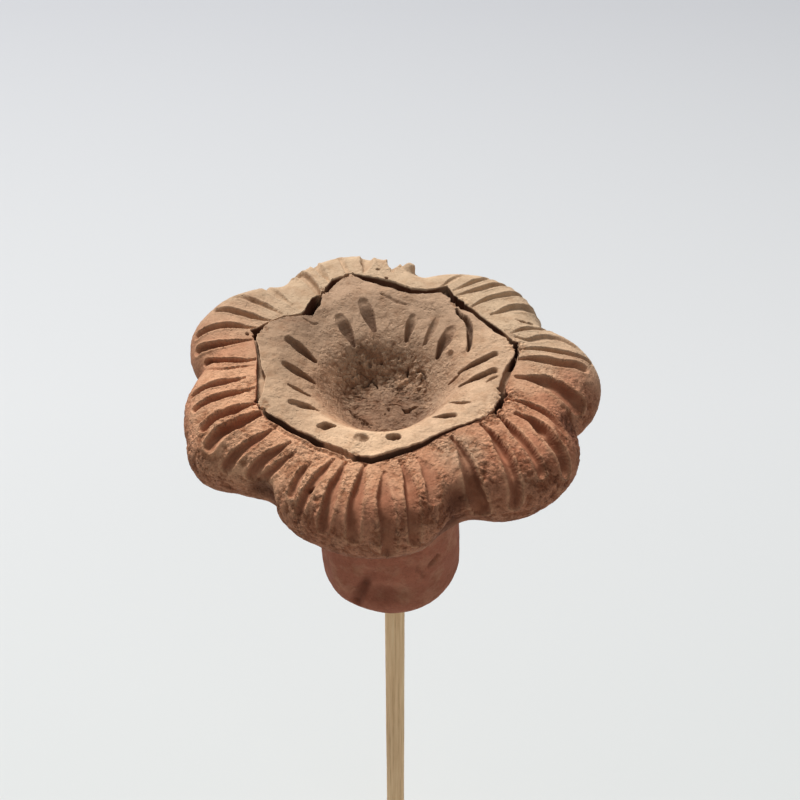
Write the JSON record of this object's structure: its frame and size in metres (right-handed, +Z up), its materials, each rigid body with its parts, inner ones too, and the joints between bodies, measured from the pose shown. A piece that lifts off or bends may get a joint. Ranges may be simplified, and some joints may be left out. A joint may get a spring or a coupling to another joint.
{
  "type": "clay stamp",
  "caption": "Hand-made clay stamp with a petalled flower head, a star-shaped cup pressed into its face and a stub handle that sits on a pointed wooden stick.",
  "frame": {"origin": "middle of the stick's lower end", "axes": "+Z up along the stick and through the handle to the patterned face; +X to the right and -Y towards the viewer of the picture"},
  "size_m": [0.0547, 0.0549, 0.12],
  "materials": {
    "stick_wood": "bare, fine straight grain",
    "handle_clay": "matt, smoothed by hand",
    "cup_clay": "matt, dusty, finely pitted",
    "petal_clay": "matt, rough, pressed grooves"
  },
  "bodies": {
    "stick": {"stick": "stick_wood"},
    "stamp": {"handle": "handle_clay", "star_cup": "cup_clay", "petal_ring": "petal_clay"}
  },
  "joints": [
    {"name": "stamp_lift", "type": "slide", "parent": "stick", "child": "stamp", "axis": [0, 0, 1], "range_m": [0, 0.02]}
  ]
}
